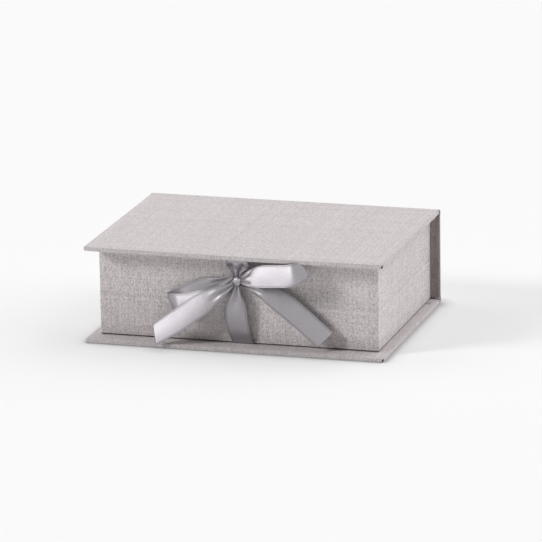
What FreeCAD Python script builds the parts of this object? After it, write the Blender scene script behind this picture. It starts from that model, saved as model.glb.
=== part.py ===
import FreeCAD, Part
import os

import Sketcher
from FreeCAD import Vector

# Book-style photo storage box: a tray between two linen-covered boards and a spine, closed by a satin bow.
# Origin: centre of the base cover's underside. X runs to the right, Y to the hinge, Z up.

os.makedirs("parts", exist_ok=True)
doc = FreeCAD.newDocument("photo_storage_box")

# Driving dimensions, in millimetres
SIZES = [
    ("cover_width", 210.0, "width of the lid, the base and the spine"),
    ("cover_depth", 155.0, "front edge of the covers to the outside of the spine"),
    ("box_height", 67.5, "table to the top of the lid"),
    ("cover_board", 2.4, "greyboard in the lid, the base and the spine"),
    ("cloth", 0.3, "linen book cloth"),
    ("paper", 0.2, "lining paper"),
    ("edge_round", 0.6, "rounding of a cloth-covered edge"),
    ("turn_in", 16.0, "cloth folded round a board's edge and glued inside"),
    ("side_overhang", 6.6, "covers beyond the tray at each side"),
    ("front_overhang", 13.3, "covers beyond the tray at the front"),
    ("hinge_set_back", 4.5, "end of a board to the outside of the fold beside it"),
    ("fold_round", 2.2, "outside radius of a cloth fold"),
    ("joint_flap", 14.0, "inner joint strip glued to the lid and the base"),
    ("strip_margin", 3.0, "end of a joint strip to the cover's side edge"),
    ("wall_board", 2.0, "greyboard in the tray's walls"),
    ("floor_board", 2.0, "greyboard in the tray's floor"),
    ("stay_thick", 0.15, "paper stay round a tray corner"),
    ("stay_width", 15.0, "reach of a corner stay along each wall"),
    ("rim_turn_in", 12.0, "cloth folded over the tray's rim"),
    ("lining_drop", 4.0, "tray rim to the top of the wall lining"),
    ("lining_margin", 4.0, "edge of the lid to the edge of its lining"),
    ("lid_clearance", 0.2, "tray rim to the ribbon's bump in the lid lining"),
    ("ribbon_width", 15.5, "satin ribbon"),
    ("ribbon_thick", 0.25, "satin ribbon"),
    ("ribbon_glued", 30.0, "glued length at each end of the ribbon"),
    ("ribbon_glue", 0.025, "glue on each face of the ribbon's glued ends"),
    ("ribbon_slack", 0.3, "room beside the ribbon in the lid lining's bump"),
    ("ribbon_bend", 0.8, "radius of the ribbon's bend where it leaves its glued end"),
    ("upper_ribbon_side", 2.7, "middle of the ribbon at the lid, right of centre"),
    ("lower_ribbon_side", 3.1, "middle of the ribbon at the base, right of centre"),
    ("knot_side", 1.0, "middle of the knot, right of centre"),
    ("knot_drop", 17.1, "underside of the lid to the middle of the knot"),
    ("knot_out", 3.8, "tray wall to the middle of the knot"),
    ("knot_radius", 2.7, "knot at its waist"),
    ("knot_end_radius", 1.8, "knot at its top and bottom"),
    ("knot_taper", 1.8, "height over which the knot narrows at each end"),
    ("knot_half", 3.9, "half of the knot's height"),
    ("knot_gap", 0.3, "knot to the ribbon's pinched ends"),
    ("tip_clearance", 1.2, "bow's outer ends beyond the covers' front edge"),
    ("bow_reach", 60.0, "knot to the end of the longer tail, along the front"),
]
sheet = doc.addObject("Spreadsheet::Sheet", "sizes")
for row, (alias, number, meaning) in enumerate(SIZES, start=1):
    sheet.set(f"A{row}", meaning)
    sheet.set(f"B{row}", str(number))
    sheet.setAlias(f"B{row}", alias)
doc.recompute()

# Places worked out from the driving dimensions
COVER = "(sizes.cover_board + 2 * sizes.cloth)"
HALF_WIDTH = "(sizes.cover_width / 2)"
FRONT = "(-sizes.cover_depth / 2)"
BACK = "(sizes.cover_depth / 2)"
COVER_RUN = "(sizes.cover_depth - sizes.hinge_set_back)"
SPINE_RUN = "(sizes.box_height - 2 * sizes.hinge_set_back)"
SPINE_TOP = "(sizes.box_height - sizes.hinge_set_back)"
SPINE_FACE = f"({BACK} - {COVER})"
STRIP_FRONT = f"({SPINE_FACE} - sizes.joint_flap)"
LID_UNDER = f"(sizes.box_height - {COVER})"
RIBBON_ROOM = "(sizes.ribbon_thick + 2 * sizes.ribbon_glue)"
SEAT = f"({COVER} + max(sizes.cloth; {RIBBON_ROOM}))"
RIM = f"({LID_UNDER} - sizes.paper - {RIBBON_ROOM} - sizes.lid_clearance)"
WALL_FACE = f"({FRONT} + sizes.front_overhang)"
TRAY_WIDTH = "(sizes.cover_width - 2 * sizes.side_overhang)"
TRAY_DEPTH = f"({SPINE_FACE} - sizes.cloth - {WALL_FACE})"
TRAY_HEIGHT = f"({RIM} - {SEAT})"
TRAY_LEFT = f"(-{TRAY_WIDTH} / 2)"
BOARD_INSET = "(sizes.cloth + sizes.stay_thick)"
INNER_INSET = f"({BOARD_INSET} + sizes.wall_board)"
BOARD_HEIGHT = f"({TRAY_HEIGHT} - 2 * sizes.cloth)"


def value(expression):
    """Length of an expression in millimetres."""
    return float(sheet.evalExpression(expression))


def inside(length, inset):
    """Expression for a length less an inset at both ends."""
    return f"({length} - 2 * {inset})"


# Builders for pieces of board, cloth and paper


def new_body(label, x, y, z):
    body = doc.addObject("PartDesign::Body", label)
    body.Label = label
    body.setExpression("Placement.Base.x", x)
    body.setExpression("Placement.Base.y", y)
    body.setExpression("Placement.Base.z", z)
    return body


def new_sketch(body, name, role, height="0"):
    """Sketch on one of the body's own origin planes, or at a height above it."""
    sketch = body.newObject("Sketcher::SketchObject", f"{body.Label}_{name}")
    plane = next(item for item in body.Origin.OriginFeatures if item.Role == role)
    sketch.AttachmentSupport = (plane, "")
    sketch.MapMode = "FlatFace"
    if height != "0":
        sketch.setExpression("AttachmentOffset.Base.z", height)
    return sketch


def pin_corner(sketch, line, corner, tag):
    """Hold the start of a line at a corner given by two expressions; 0 means on the axis."""
    axes = (("DistanceX", -2, corner[0], "x"), ("DistanceY", -1, corner[1], "y"))
    for kind, axis, expression, letter in axes:
        if expression == "0":
            sketch.addConstraint(Sketcher.Constraint("PointOnObject", line, 1, axis))
            continue
        index = sketch.addConstraint(Sketcher.Constraint(kind, -1, 1, line, 1, value(expression)))
        name = f"{tag}_{letter}"
        sketch.renameConstraint(index, name)
        sketch.setExpression(f"Constraints.{name}", expression)


def draw_outline(sketch, tag, corners):
    """Closed outline of straight lines through corners, each a pair of expressions."""
    points = [Vector(value(x), value(y), 0) for x, y in corners]
    first = sketch.GeometryCount
    count = len(corners)
    for number in range(count):
        start = points[number]
        end = points[(number + 1) % count]
        sketch.addGeometry(Part.LineSegment(start, end), False)
    for number in range(count):
        following = first + (number + 1) % count
        sketch.addConstraint(Sketcher.Constraint("Coincident", first + number, 2, following, 1))
    for number, corner in enumerate(corners):
        pin_corner(sketch, first + number, corner, f"{tag}{number}")


def draw_rectangle(sketch, tag, x, y, width, depth):
    right = width if x == "0" else f"({x} + {width})"
    back = depth if y == "0" else f"({y} + {depth})"
    draw_outline(sketch, tag, [(x, y), (right, y), (right, back), (x, back)])


def pad(body, sketch, length):
    feature = body.newObject("PartDesign::Pad", f"{sketch.Name}_pad")
    feature.Profile = sketch
    feature.setExpression("Length", length)
    sketch.Visibility = False
    doc.recompute()
    return feature


def pocket(body, name, top, depth, *rectangles):
    """Cut downwards from a height; a second rectangle inside the first stays standing."""
    sketch = new_sketch(body, name, "XY_Plane", top)
    for number, rectangle in enumerate(rectangles):
        draw_rectangle(sketch, f"edge{number}_", *rectangle)
    before = body.Shape.Volume
    feature = body.newObject("PartDesign::Pocket", f"{sketch.Name}_pocket")
    feature.Profile = sketch
    feature.setExpression("Length", depth)
    doc.recompute()
    if body.Shape.Volume >= before:
        raise RuntimeError(f"{name} cuts nothing from {body.Label}")
    return feature


def round_edges(body, name, radius, wanted):
    """Fillet the edges of the body's last feature whose boundary box passes the test."""
    last = body.Tip
    picked = []
    for number, edge in enumerate(last.Shape.Edges, start=1):
        if wanted(edge.BoundBox):
            picked.append(f"Edge{number}")
    feature = body.newObject("PartDesign::Fillet", f"{body.Label}_{name}")
    feature.Base = (last, picked)
    feature.setExpression("Radius", radius)
    doc.recompute()
    return feature


def slab(label, corner, width, depth, height):
    """Flat rectangular piece standing on its lower left front corner."""
    body = new_body(label, *corner)
    sketch = new_sketch(body, "outline", "XY_Plane")
    draw_rectangle(sketch, "edge_", "0", "0", width, depth)
    pad(body, sketch, height)
    return body


def profile(label, corner, outline, length):
    """Strip with one section all along X, drawn in the YZ plane."""
    body = new_body(label, *corner)
    sketch = new_sketch(body, "section", "YZ_Plane")
    draw_outline(sketch, "corner", outline)
    pad(body, sketch, length)
    return body


# Covers: greyboard wrapped in book cloth, with the cloth turned in on the inner side


def cover_board(label, low):
    """Board of the lid or the base; low is the cover's underside."""
    corner = (f"-{HALF_WIDTH} + sizes.cloth", f"{FRONT} + sizes.cloth", f"{low} + sizes.cloth")
    width = inside("sizes.cover_width", "sizes.cloth")
    return slab(label, corner, width, f"{COVER_RUN} - sizes.cloth", "sizes.cover_board")


def cover_cloth(label, low, opening_top):
    """Cloth round three edges of a cover, open over the board at opening_top."""
    body = slab(label, (f"-{HALF_WIDTH}", FRONT, low), "sizes.cover_width", COVER_RUN, COVER)
    hinge_end = value(COVER_RUN) - value("sizes.edge_round")
    round_edges(body, "rounded", "sizes.edge_round", lambda box: box.YMin < hinge_end)
    board = (
        "sizes.cloth",
        "sizes.cloth",
        inside("sizes.cover_width", "sizes.cloth"),
        f"({COVER_RUN} - sizes.cloth)",
    )
    bare = (
        "sizes.turn_in",
        "sizes.turn_in",
        inside("sizes.cover_width", "sizes.turn_in"),
        f"({COVER_RUN} - sizes.turn_in)",
    )
    pocket(body, "board_space", "sizes.cloth + sizes.cover_board", "sizes.cover_board", board)
    pocket(body, "bare_board", opening_top, "sizes.cloth", bare)
    return body


def fold_cloth(label, low, on_top):
    """Outer cloth from a cover round the corner to the spine; on_top is the lid's fold."""
    run = "sizes.hinge_set_back"
    inner = "(sizes.hinge_set_back - sizes.cloth)"
    lid_fold = [("0", inner), (inner, inner), (inner, "0"), (run, "0"), (run, run), ("0", run)]
    base_fold = [("0", "0"), (run, "0"), (run, run), (inner, run), (inner, "sizes.cloth"), ("0", "sizes.cloth")]
    corner = (f"-{HALF_WIDTH}", f"{BACK} - {run}", low)
    body = profile(label, corner, lid_fold if on_top else base_fold, "sizes.cover_width")
    outside = value(run)
    bend_low = outside if on_top else 0.0
    inside_y = value(inner)
    inside_z = value(inner) if on_top else value("sizes.cloth")

    def along_outer_bend(box):
        return abs(box.YMin - outside) < 0.01 and abs(box.YMax - outside) < 0.01 and is_level(box, bend_low)

    def along_inner_bend(box):
        return abs(box.YMin - inside_y) < 0.01 and abs(box.YMax - inside_y) < 0.01 and is_level(box, inside_z)

    round_edges(body, "outer_bend", "sizes.fold_round", along_outer_bend)
    round_edges(body, "inner_bend", "sizes.fold_round - sizes.cloth", along_inner_bend)
    return body


def is_level(box, height):
    return abs(box.ZMin - height) < 0.01 and abs(box.ZMax - height) < 0.01


def spine():
    run = inside("sizes.cover_width", "sizes.cloth")
    corner = (f"-{HALF_WIDTH} + sizes.cloth", f"{SPINE_FACE} + sizes.cloth", "sizes.hinge_set_back")
    board = slab("spine_board", corner, run, "sizes.cover_board", SPINE_RUN)
    corner = (f"-{HALF_WIDTH}", SPINE_FACE, "sizes.hinge_set_back")
    cloth = slab("spine_cloth", corner, "sizes.cover_width", COVER, SPINE_RUN)
    end = value("sizes.cover_width") / 2

    def upright(box):
        return abs(box.XMin - end) + 0.01 > end and box.ZLength > 1 and box.XLength < 0.01

    round_edges(cloth, "rounded", "sizes.edge_round", upright)
    pocket(cloth, "board_space", SPINE_RUN, SPINE_RUN, ("sizes.cloth", "sizes.cloth", run, "sizes.cover_board"))
    bare = ("sizes.turn_in", "0", inside("sizes.cover_width", "sizes.turn_in"), "sizes.cloth")
    pocket(cloth, "bare_board", SPINE_RUN, SPINE_RUN, bare)
    return [board, cloth]


def joint_strip():
    """Inner cloth strip up the spine's inside, with a flap on the base under the tray."""
    rise = f"({SPINE_TOP} - {COVER})"
    upright = "(sizes.joint_flap - sizes.cloth)"
    outline = [
        ("0", "0"),
        ("sizes.joint_flap", "0"),
        ("sizes.joint_flap", rise),
        (upright, rise),
        (upright, "sizes.cloth"),
        ("0", "sizes.cloth"),
    ]
    corner = (f"-{HALF_WIDTH} + sizes.strip_margin", STRIP_FRONT, COVER)
    return profile("spine_joint_strip", corner, outline, inside("sizes.cover_width", "sizes.strip_margin"))


def hinge_strip():
    """Inner cloth strip from the top of the spine to the lid's underside: it bends as the lid opens."""
    rise = f"({LID_UNDER} - {SPINE_TOP})"
    upright = "(sizes.joint_flap - sizes.cloth)"
    under = f"({rise} - sizes.cloth)"
    outline = [
        ("0", under),
        (upright, under),
        (upright, "0"),
        ("sizes.joint_flap", "0"),
        ("sizes.joint_flap", rise),
        ("0", rise),
    ]
    corner = (f"-{HALF_WIDTH} + sizes.strip_margin", STRIP_FRONT, SPINE_TOP)
    return profile("lid_hinge_strip", corner, outline, inside("sizes.cover_width", "sizes.strip_margin"))


def lid_lining():
    """Paper inside the lid, raised over the glued end of the ribbon."""
    low = f"{LID_UNDER} - sizes.paper - {RIBBON_ROOM}"
    width = inside("sizes.cover_width", "sizes.lining_margin")
    depth = f"({STRIP_FRONT} - {FRONT} - sizes.lining_margin)"
    body = new_body("lid_lining", f"-{HALF_WIDTH} + sizes.lining_margin", f"{FRONT} + sizes.lining_margin", low)
    sheet_sketch = new_sketch(body, "sheet", "XY_Plane", RIBBON_ROOM)
    draw_rectangle(sheet_sketch, "edge_", "0", "0", width, depth)
    pad(body, sheet_sketch, "sizes.paper")
    room = "(sizes.ribbon_width + 2 * sizes.ribbon_slack)"
    room_left = f"({HALF_WIDTH} - sizes.lining_margin + sizes.upper_ribbon_side - {room} / 2)"
    bump = new_sketch(body, "bump", "XY_Plane")
    draw_rectangle(
        bump,
        "edge_",
        f"({room_left} - sizes.paper)",
        "0",
        f"({room} + 2 * sizes.paper)",
        "(sizes.ribbon_glued + sizes.ribbon_slack + sizes.paper)",
    )
    pad(body, bump, f"{RIBBON_ROOM} + sizes.paper")
    space = (room_left, "0", room, "(sizes.ribbon_glued + sizes.ribbon_slack)")
    pocket(body, "ribbon_space", f"{RIBBON_ROOM} + sizes.paper", RIBBON_ROOM, space)
    return body


# Tray: five boards, corner stays, an outer cloth and a paper lining


def tray_slab(label, inset_x, inset_y, height, width, depth, thick):
    """Piece of the tray, placed from the tray's own lower left front corner."""
    corner = (f"{TRAY_LEFT} + {inset_x}", f"{WALL_FACE} + {inset_y}", f"{SEAT} + {height}")
    return slab(label, corner, width, depth, thick)


def tray_boards():
    low = "sizes.cloth"
    far_y = f"({TRAY_DEPTH} - {INNER_INSET})"
    far_x = f"({TRAY_WIDTH} - {INNER_INSET})"
    long_run = inside(TRAY_WIDTH, BOARD_INSET)
    short_run = inside(TRAY_DEPTH, INNER_INSET)
    wall = "sizes.wall_board"
    return [
        tray_slab("tray_front_wall", BOARD_INSET, BOARD_INSET, low, long_run, wall, BOARD_HEIGHT),
        tray_slab("tray_back_wall", BOARD_INSET, far_y, low, long_run, wall, BOARD_HEIGHT),
        tray_slab("tray_left_wall", BOARD_INSET, INNER_INSET, low, wall, short_run, BOARD_HEIGHT),
        tray_slab("tray_right_wall", far_x, INNER_INSET, low, wall, short_run, BOARD_HEIGHT),
        tray_slab(
            "tray_floor",
            INNER_INSET,
            INNER_INSET,
            low,
            inside(TRAY_WIDTH, INNER_INSET),
            short_run,
            "sizes.floor_board",
        ),
    ]


def corner_stays():
    """Four paper angles round the tray's corners, left from one thin ring."""
    width = inside(TRAY_WIDTH, "sizes.cloth")
    depth = inside(TRAY_DEPTH, "sizes.cloth")
    body = tray_slab("tray_corner_stays", "sizes.cloth", "sizes.cloth", "sizes.cloth", width, depth, BOARD_HEIGHT)
    core = ("sizes.stay_thick", "sizes.stay_thick", inside(width, "sizes.stay_thick"), inside(depth, "sizes.stay_thick"))
    pocket(body, "core", BOARD_HEIGHT, BOARD_HEIGHT, core)
    across = ("sizes.stay_width", "0", inside(width, "sizes.stay_width"), depth)
    pocket(body, "front_and_back", BOARD_HEIGHT, BOARD_HEIGHT, across)
    along = ("0", "sizes.stay_width", width, inside(depth, "sizes.stay_width"))
    pocket(body, "sides", BOARD_HEIGHT, BOARD_HEIGHT, along)
    return body


def inset_rectangle(inset):
    """Rectangle inside the tray's outline, by the same inset on all four sides."""
    return (inset, inset, inside(TRAY_WIDTH, inset), inside(TRAY_DEPTH, inset))


def tray_cloth():
    """Cloth outside the tray, over its rim and down inside, and turned in under the floor."""
    body = tray_slab("tray_cloth", "0", "0", "0", TRAY_WIDTH, TRAY_DEPTH, TRAY_HEIGHT)
    bottom = value("sizes.edge_round")
    round_edges(body, "rounded", "sizes.edge_round", lambda box: box.ZMax > bottom)
    turned = f"({INNER_INSET} + sizes.cloth)"
    under_rim = f"{TRAY_HEIGHT} - sizes.cloth"
    walls = (inset_rectangle("sizes.cloth"), inset_rectangle(INNER_INSET))
    pocket(body, "wall_space", under_rim, BOARD_HEIGHT, *walls)
    pocket(body, "mouth", TRAY_HEIGHT, f"{TRAY_HEIGHT} - sizes.cloth", inset_rectangle(turned))
    hem = f"({TRAY_HEIGHT} - sizes.rim_turn_in)"
    pocket(body, "below_turn_in", hem, f"{hem} - sizes.cloth", inset_rectangle(INNER_INSET))
    pocket(body, "bare_floor", "sizes.cloth", "sizes.cloth", inset_rectangle("sizes.turn_in"))
    return body


def tray_linings():
    """Paper on the walls, lapped over the turned-in cloth, and paper on the floor."""
    floor_top = "(sizes.cloth + sizes.floor_board)"
    top = f"({TRAY_HEIGHT} - sizes.lining_drop)"
    height = f"({top} - {floor_top})"
    width = inside(TRAY_WIDTH, INNER_INSET)
    depth = inside(TRAY_DEPTH, INNER_INSET)
    walls = tray_slab("tray_wall_lining", INNER_INSET, INNER_INSET, floor_top, width, depth, height)
    lapped = "(sizes.cloth + sizes.paper)"
    hem = f"({TRAY_HEIGHT} - sizes.rim_turn_in - {floor_top})"
    outer = ("0", "0", width, depth)
    cloth = ("sizes.cloth", "sizes.cloth", inside(width, "sizes.cloth"), inside(depth, "sizes.cloth"))
    mouth = (lapped, lapped, inside(width, lapped), inside(depth, lapped))
    paper = ("sizes.paper", "sizes.paper", inside(width, "sizes.paper"), inside(depth, "sizes.paper"))
    pocket(walls, "mouth", height, height, mouth)
    pocket(walls, "turned_cloth", height, f"{height} - {hem}", outer, cloth)
    pocket(walls, "below_lap", f"{hem} - sizes.paper", f"{hem} - sizes.paper", paper)
    inset = f"({INNER_INSET} + sizes.paper)"
    floor = tray_slab(
        "tray_floor_lining",
        inset,
        inset,
        floor_top,
        inside(TRAY_WIDTH, inset),
        inside(TRAY_DEPTH, inset),
        "sizes.paper",
    )
    return [walls, floor]


# Ribbon: each piece is one thin strip with bowed sections.
# A station of a loop or a tail is (side, out, up, across, spread, crown):
#   side    hundredths of the bow's reach to the right of the knot's near edge
#   out     share of the bow's depth in front of the tray wall
#   up      height: hundredths of the reach in a loop, share of the knot's height in a tail
#   across  direction from the strip's lower or left edge to its other edge
#   spread  share of the ribbon's width between the two edges
#   crown   share of the ribbon's width that the middle stands off the line between the edges
KNOT_X = value("sizes.knot_side")
KNOT_Z = value(f"{LID_UNDER} - sizes.knot_drop")
KNOT_EDGE = value("sizes.knot_radius + sizes.knot_gap")
KNOT_END = value("sizes.knot_half + sizes.knot_gap")
KNOT_OUT = value("sizes.knot_out")
WALL_Y = value(WALL_FACE)
DEPTH = value("sizes.front_overhang + sizes.tip_clearance")
STEP = value("sizes.bow_reach / 100")
BASE_TOP = value(COVER)
UNDER_LID = value(LID_UNDER)
RIBBON_WIDTH = value("sizes.ribbon_width")
RIBBON_THICK = value("sizes.ribbon_thick")
BEND = value("sizes.ribbon_bend")
CUTS = 3
CHORDS = 4
SWAY = 0.05 * RIBBON_WIDTH
GLUED = Vector(0, value("-sizes.ribbon_glued"), 0)
LEVEL = Vector(1, 0, 0)


def from_knot(up):
    return KNOT_Z + up * STEP


def above_base(share):
    return BASE_TOP + share * (KNOT_Z - BASE_TOP)


def above_knot(share):
    return KNOT_Z + share * (UNDER_LID - KNOT_Z)


def rail(points, places):
    curve = Part.BSplineCurve()
    curve.interpolate(Points=points, Parameters=places)
    return curve


def strip_rails(stations):
    """Smooth curves along a strip's edges and middle, and the places of its sections on them."""
    centres = [station[0] for station in stations]
    lengths = [0.0]
    for before, after in zip(centres, centres[1:]):
        lengths.append(lengths[-1] + (after - before).Length)
    places = [length / lengths[-1] for length in lengths]
    route = rail(centres, places)
    lows, middles, highs = [], [], []
    for (centre, across, spread, crown), place in zip(stations, places):
        half = Vector(across).normalize() * (spread * RIBBON_WIDTH / 2)
        ahead = route.tangent(place)[0]
        off = ahead.cross(half).normalize() * (crown * RIBBON_WIDTH)
        lows.append(centre - half)
        middles.append(centre + off)
        highs.append(centre + half)
    cuts = []
    for before, after in zip(places, places[1:]):
        cuts += [before + (after - before) * number / CUTS for number in range(CUTS)]
    return rail(lows, places), rail(middles, places), rail(highs, places), cuts + [places[-1]]


def strip_section(low, middle, high, ahead):
    """Points along the two faces of a bowed section, ribbon_thick apart."""
    off = ahead.cross(high - low).normalize() * (RIBBON_THICK / 2)
    bow = middle - (low + high) / 2
    upper, under = [], []
    for number in range(CHORDS + 1):
        share = number / CHORDS
        point = low + (high - low) * share + bow * (4 * share * (1 - share))
        upper.append(point + off)
        under.append(point - off)
    return upper, under


def patch(start, end, next_start, next_end):
    """Ruled face between two straight edges."""
    return Part.makeRuledSurface(Part.makeLine(start, end), Part.makeLine(next_start, next_end))


def add_strip(label, stations, glued=None):
    """Closed strip of ruled faces from section to section; glued is the run of a flat end before it."""
    low_rail, middle_rail, high_rail, cuts = strip_rails(stations)
    sections = []
    for place in cuts:
        ahead = middle_rail.tangent(place)[0]
        points = [curve.value(place) for curve in (low_rail, middle_rail, high_rail)]
        sections.append(strip_section(*points, ahead))
    if glued:
        points = [curve.value(0.0) - glued for curve in (low_rail, middle_rail, high_rail)]
        sections.insert(0, strip_section(*points, glued))
    faces = []
    for upper, under in (sections[0], sections[-1]):
        for chord in range(CHORDS):
            faces.append(patch(*upper[chord : chord + 2], *under[chord : chord + 2]))
    for (upper, under), (next_upper, next_under) in zip(sections, sections[1:]):
        for chord in range(CHORDS):
            faces.append(patch(*upper[chord : chord + 2], *next_upper[chord : chord + 2]))
            faces.append(patch(*under[chord : chord + 2], *next_under[chord : chord + 2]))
        faces.append(patch(upper[0], under[0], next_upper[0], next_under[0]))
        faces.append(patch(upper[-1], under[-1], next_upper[-1], next_under[-1]))
    shape = Part.makeSolid(Part.makeShell(faces))
    if shape.Volume < 0:
        shape.reverse()
    feature = doc.addObject("Part::Feature", label)
    feature.Label = label
    feature.Shape = shape
    feature.Placement = FreeCAD.Placement()
    print(f"{label}: free length {middle_rail.length(0.0, 1.0):.1f} mm")
    return feature


def bow_strip(label, rows, edge, height):
    """Loop or tail of the bow, from the knot's right (1) or left (-1) edge through its stations."""
    stations = []
    for side, out, up, across, spread, crown in rows:
        centre = Vector(KNOT_X + edge * KNOT_EDGE + side * STEP, WALL_Y - out * DEPTH, height(up))
        stations.append((centre, across, spread, crown))
    return add_strip(label, stations)


# Out of the knot to the right, round the tip in front of the lid's edge, and back behind
RIGHT_LOOP = [
    (-0.3, 0.34, 2.3, (0, 0.2, 1), 0.22, 0.02),
    (13.3, 0.60, 7.7, (0, 0.1, 1), 0.78, 0.08),
    (26.7, 0.82, 10.8, (0, 0.1, 1), 1.0, 0.08),
    (45.0, 1.03, 13.3, (-0.03, 0.1, 1), 1.0, 0.065),
    (62.5, 1.17, 16.3, (-0.1, 0.12, 1), 1.0, 0.065),
    (74.3, 1.21, 21.7, (-0.4, 0.2, 0.85), 0.87, 0.065),
    (78.0, 1.13, 23.8, (-0.55, 0.3, 0.75), 0.8, 0.06),
    (74.2, 1.06, 21.7, (-0.4, 0.2, 0.85), 0.87, 0.04),
    (61.7, 1.03, 16.5, (-0.1, 0.05, 1), 0.95, 0.025),
    (41.7, 0.82, 12.0, (0, 0, 1), 1.0, 0.04),
    (16.7, 0.47, 7.3, (0, 0, 1), 0.8, 0.03),
    (-0.3, 0.22, 3.8, (0, 0, 1), 0.2, 0.015),
]

# Out of the knot to the left, drooping, round its tip, and back along the wall
LEFT_LOOP = [
    (-0.3, 0.26, 3.2, (-0.1, 0, 1), 0.2, -0.02),
    (-13.7, 0.53, -9.7, (-0.33, 0, 0.94), 0.68, -0.065),
    (-33.3, 0.70, -21.2, (-0.33, 0, 0.94), 0.98, -0.065),
    (-55.0, 0.66, -28.0, (-0.2, 0, 0.98), 0.97, -0.065),
    (-69.8, 0.58, -28.7, (-0.32, 0.05, 0.95), 0.88, -0.065),
    (-73.3, 0.45, -27.8, (-0.4, 0.1, 0.9), 0.8, -0.06),
    (-69.8, 0.32, -26.5, (-0.38, 0.05, 0.92), 0.87, -0.05),
    (-53.8, 0.20, -20.0, (-0.35, 0, 0.93), 0.97, -0.04),
    (-34.2, 0.14, -11.3, (-0.33, 0, 0.94), 0.95, -0.03),
    (-15.0, 0.12, -5.0, (-0.2, 0, 0.97), 0.6, -0.025),
    (-0.2, 0.15, 3.7, (0, 0, 1), 0.2, -0.02),
]

# In front of the left loop, down to the base's front edge
LEFT_TAIL = [
    (0.5, 0.37, 0.962, (-0.2, 0, 1), 0.2, -0.02),
    (-15.0, 0.76, 0.835, (-0.38, 0, 0.93), 0.72, -0.08),
    (-36.7, 0.88, 0.630, (-0.46, -0.06, 0.88), 1.0, -0.08),
    (-60.0, 0.93, 0.405, (-0.46, -0.08, 0.88), 1.0, -0.05),
    (-88.7, 1.00, 0.152, (-0.25, 0.08, 0.96), 0.86, -0.03),
]

# From under the right loop, hanging free in front of the wall
RIGHT_TAIL = [
    (0.0, 0.20, 0.958, (0.4, 0.1, 0.9), 0.2, 0.015),
    (21.2, 0.27, 0.915, (0.69, 0.2, 0.7), 0.72, 0.04),
    (48.3, 0.50, 0.740, (0.62, 0.22, 0.75), 1.0, 0.065),
    (72.5, 0.56, 0.495, (0.69, 0.19, 0.69), 1.0, 0.05),
    (98.7, 0.52, 0.185, (0.68, 0.19, 0.71), 1.0, 0.03),
]


def lower_strand():
    """Ribbon from under the tray up to the knot, with its glued end between tray and base."""
    foot_x = value("sizes.lower_ribbon_side")
    foot_z = value(f"({COVER} + {SEAT}) / 2")
    stations = [
        (Vector(foot_x, WALL_Y, foot_z), LEVEL, 1.0, 0.0),
        (Vector(foot_x, WALL_Y - 0.7 * BEND, foot_z + 0.3 * BEND), LEVEL, 1.0, 0.0),
        (Vector(foot_x, WALL_Y - BEND, foot_z + BEND), LEVEL, 1.0, -0.003),
        (Vector(foot_x - SWAY, WALL_Y - 0.10 * DEPTH, above_base(0.12)), LEVEL, 1.0, -0.02),
        (Vector(KNOT_X, WALL_Y - 0.14 * DEPTH, above_base(0.29)), LEVEL, 1.0, -0.06),
        (Vector(KNOT_X - SWAY, WALL_Y - 0.19 * DEPTH, above_base(0.49)), LEVEL, 1.0, -0.1),
        (Vector(KNOT_X - SWAY, WALL_Y - 0.22 * DEPTH, above_base(0.67)), LEVEL, 0.85, -0.1),
        (Vector(KNOT_X - SWAY / 2, WALL_Y - 0.24 * DEPTH, above_base(0.84)), LEVEL, 0.38, -0.05),
        (Vector(KNOT_X, WALL_Y - KNOT_OUT, KNOT_Z - KNOT_END), LEVEL, 0.2, -0.02),
    ]
    return add_strip("ribbon_lower_strand", stations, GLUED)


def upper_strand():
    """Ribbon from under the lid's lining down to the knot; it leaves with the lid."""
    top_x = value("sizes.upper_ribbon_side")
    top_z = value(f"{LID_UNDER} - {RIBBON_ROOM} / 2")
    exit_y = value(f"{FRONT} + sizes.lining_margin")
    stations = [
        (Vector(top_x, exit_y, top_z), LEVEL, 1.0, 0.0),
        (Vector(top_x, exit_y - 0.7 * BEND, top_z - 0.3 * BEND), LEVEL, 1.0, 0.0),
        (Vector(top_x, exit_y - BEND, top_z - BEND), LEVEL, 1.0, 0.003),
        (Vector(top_x, exit_y - 0.8 * BEND, above_knot(0.88)), LEVEL, 1.0, 0.02),
        (Vector(top_x, WALL_Y - 0.46 * DEPTH, above_knot(0.66)), LEVEL, 0.95, 0.05),
        (Vector(KNOT_X, WALL_Y - 0.33 * DEPTH, above_knot(0.43)), LEVEL, 0.52, 0.05),
        (Vector(KNOT_X, WALL_Y - KNOT_OUT, KNOT_Z + KNOT_END), LEVEL, 0.2, 0.02),
    ]
    return add_strip("ribbon_upper_strand", stations, GLUED)


def bow_knot():
    """Knot: turned about its upright axis, narrower at its top and bottom."""
    low = f"{LID_UNDER} - sizes.knot_drop - sizes.knot_half"
    body = new_body("bow_knot", "sizes.knot_side", f"{WALL_FACE} - sizes.knot_out", low)
    sketch = new_sketch(body, "section", "XZ_Plane")
    height = "(2 * sizes.knot_half)"
    end = "sizes.knot_end_radius"
    waist = "sizes.knot_radius"
    upper = f"({height} - sizes.knot_taper)"
    corners = [("0", "0"), (end, "0"), (waist, "sizes.knot_taper"), (waist, upper), (end, height), ("0", height)]
    draw_outline(sketch, "corner", corners)
    feature = body.newObject("PartDesign::Revolution", "bow_knot_turned")
    feature.Profile = sketch
    feature.ReferenceAxis = (sketch, ["V_Axis"])
    feature.Angle = 360
    sketch.Visibility = False
    doc.recompute()
    return body


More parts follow.
